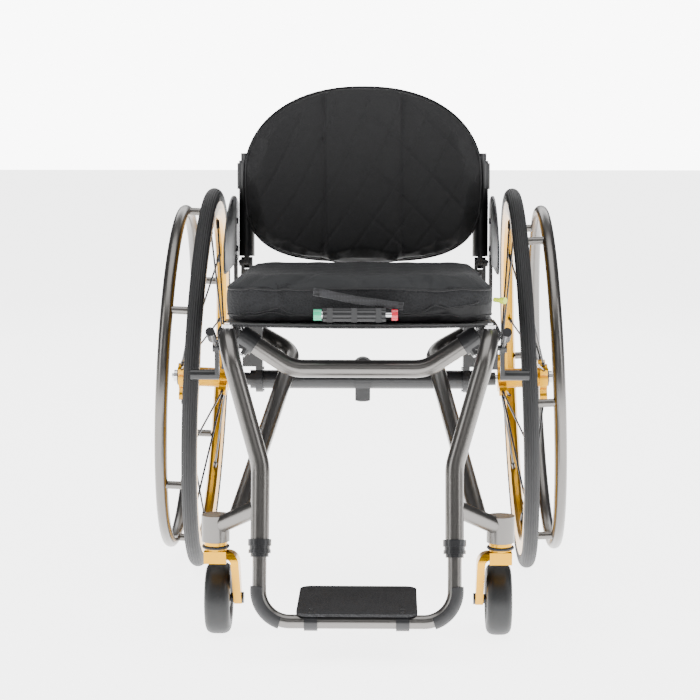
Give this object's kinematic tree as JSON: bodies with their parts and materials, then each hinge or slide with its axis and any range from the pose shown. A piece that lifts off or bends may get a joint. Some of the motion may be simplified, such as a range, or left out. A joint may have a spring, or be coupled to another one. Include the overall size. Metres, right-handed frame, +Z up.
{
  "type": "manual wheelchair",
  "caption": "Rigid-frame manual wheelchair with cambered spoked drive wheels and hand rims, swivel casters, fold-down shell back, seat cushion, wheel locks and footrest.",
  "frame": {"origin": "on the floor under the middle of the bounding box", "axes": "+Z up, the chair faces -Y, +X is the seated user's left"},
  "size_m": [0.6322, 0.894, 0.7774],
  "materials": {
    "titanium": "satin, warm grey brushed titanium",
    "black_metal": "satin black anodised",
    "black_plastic": "smooth satin black moulding or composite",
    "grit": "matt black with a grit surface",
    "sling_web": "black nylon webbing",
    "cushion_cover": "dark blue-grey knit top with coarse mesh sides",
    "back_mesh": "black spacer mesh",
    "steel": "polished stainless",
    "gold": "satin gold anodised",
    "spoke_black": "satin black fibre",
    "tyre": "matt black tread",
    "rubber": "matt black",
    "green": "glossy green",
    "red": "glossy red",
    "lime": "glossy yellow-green"
  },
  "bodies": {
    "frame": {"side_frame_left": "titanium", "side_frame_right": "titanium", "rail_caps": "black_plastic", "cross_tube": "titanium", "cross_tube_clamps": "black_metal", "axle_tube": "black_metal", "axle_clamps": "black_metal", "axle_tube_bracket": "black_metal", "axle_sleeves": "black_metal", "seat_sling": "sling_web", "frame_bolts": "steel", "rail_studs": "steel", "side_guard_left": "black_plastic", "side_guard_right": "black_plastic", "back_hinges": "black_metal", "leg_collars": "black_metal", "caster_bearings": "steel", "axle_pins": "steel", "lock_mounts": "black_metal", "seat_cushion": "cushion_cover", "valve_body": "black_plastic", "inflation_valve": "lime"},
    "footrest": {"footrest_tube": "titanium", "footrest_bumpers": "rubber", "footplate": "grit", "footplate_clamps": "black_metal"},
    "backrest": {"back_canes": "black_metal", "back_bar": "black_metal", "back_shell": "black_plastic", "back_pad": "back_mesh", "back_brackets": "black_metal"},
    "valve_slide": {"valve_rod": "steel", "valve_knob_green": "green", "valve_knob_red": "red"},
    "drive_wheel_left": {"tyre_left": "tyre", "rim_left": "gold", "spokes_left": "spoke_black", "hub_left": "gold", "handrim_left": "titanium"},
    "swivel_left": {"caster_stem_left": "steel", "caster_seal_left": "rubber", "caster_fork_left": "gold", "caster_axle_left": "black_metal"},
    "caster_wheel_left": {"caster_tyre_left": "tyre", "caster_hub_left": "black_plastic"},
    "wheel_lock_left": {"lock_lever_left": "black_metal"},
    "axle_release_left": {"axle_button_left": "steel"},
    "drive_wheel_right": {"tyre_right": "tyre", "rim_right": "gold", "spokes_right": "spoke_black", "hub_right": "gold", "handrim_right": "titanium"},
    "swivel_right": {"caster_stem_right": "steel", "caster_seal_right": "rubber", "caster_fork_right": "gold", "caster_axle_right": "black_metal"},
    "caster_wheel_right": {"caster_tyre_right": "tyre", "caster_hub_right": "black_plastic"},
    "wheel_lock_right": {"lock_lever_right": "black_metal"},
    "axle_release_right": {"axle_button_right": "steel"}
  },
  "joints": [
    {"name": "drive_wheel_spin_left", "type": "hinge", "parent": "frame", "child": "drive_wheel_left", "pos_m": [0.2505, 0.142, 0.30424], "axis": [0.9991, 0, 0.0419], "continuous": true},
    {"name": "caster_swivel_left", "type": "hinge", "parent": "frame", "child": "swivel_left", "pos_m": [0.198, -0.336, 0.15], "axis": [0, 0, 1], "continuous": true},
    {"name": "caster_wheel_spin_left", "type": "hinge", "parent": "swivel_left", "child": "caster_wheel_left", "pos_m": [0.198, -0.291, 0.0508], "axis": [1, 0, 0], "continuous": true},
    {"name": "wheel_lock_left", "type": "hinge", "parent": "frame", "child": "wheel_lock_left", "pos_m": [0.2065, -0.19, 0.396], "axis": [1, 0, 0], "range_deg": [0, 38]},
    {"name": "axle_release_left", "type": "slide", "parent": "frame", "child": "axle_release_left", "axis": [0.9991, 0, 0.0419], "range_m": [-0.0035, 0], "stiffness_N_per_m": 500, "springref_m": 0.003},
    {"name": "drive_wheel_spin_right", "type": "hinge", "parent": "frame", "child": "drive_wheel_right", "pos_m": [-0.2505, 0.142, 0.30424], "axis": [-0.9991, 0, 0.0419], "continuous": true},
    {"name": "caster_swivel_right", "type": "hinge", "parent": "frame", "child": "swivel_right", "pos_m": [-0.198, -0.336, 0.15], "axis": [0, 0, 1], "continuous": true},
    {"name": "caster_wheel_spin_right", "type": "hinge", "parent": "swivel_right", "child": "caster_wheel_right", "pos_m": [-0.198, -0.291, 0.0508], "axis": [1, 0, 0], "continuous": true},
    {"name": "wheel_lock_right", "type": "hinge", "parent": "frame", "child": "wheel_lock_right", "pos_m": [-0.2065, -0.19, 0.396], "axis": [1, 0, 0], "range_deg": [0, 38]},
    {"name": "axle_release_right", "type": "slide", "parent": "frame", "child": "axle_release_right", "axis": [-0.9991, 0, 0.0419], "range_m": [-0.0035, 0], "stiffness_N_per_m": 500, "springref_m": 0.003},
    {"name": "back_fold", "type": "hinge", "parent": "frame", "child": "backrest", "pos_m": [0, 0.204, 0.484], "axis": [1, 0, 0], "range_deg": [0, 30]},
    {"name": "footrest_height", "type": "slide", "parent": "frame", "child": "footrest", "axis": [0, 0.2588, 0.9659], "range_m": [-0.02, 0.03]},
    {"name": "valve_push", "type": "slide", "parent": "frame", "child": "valve_slide", "axis": [1, 0, 0], "range_m": [-0.0075, 0]}
  ]
}
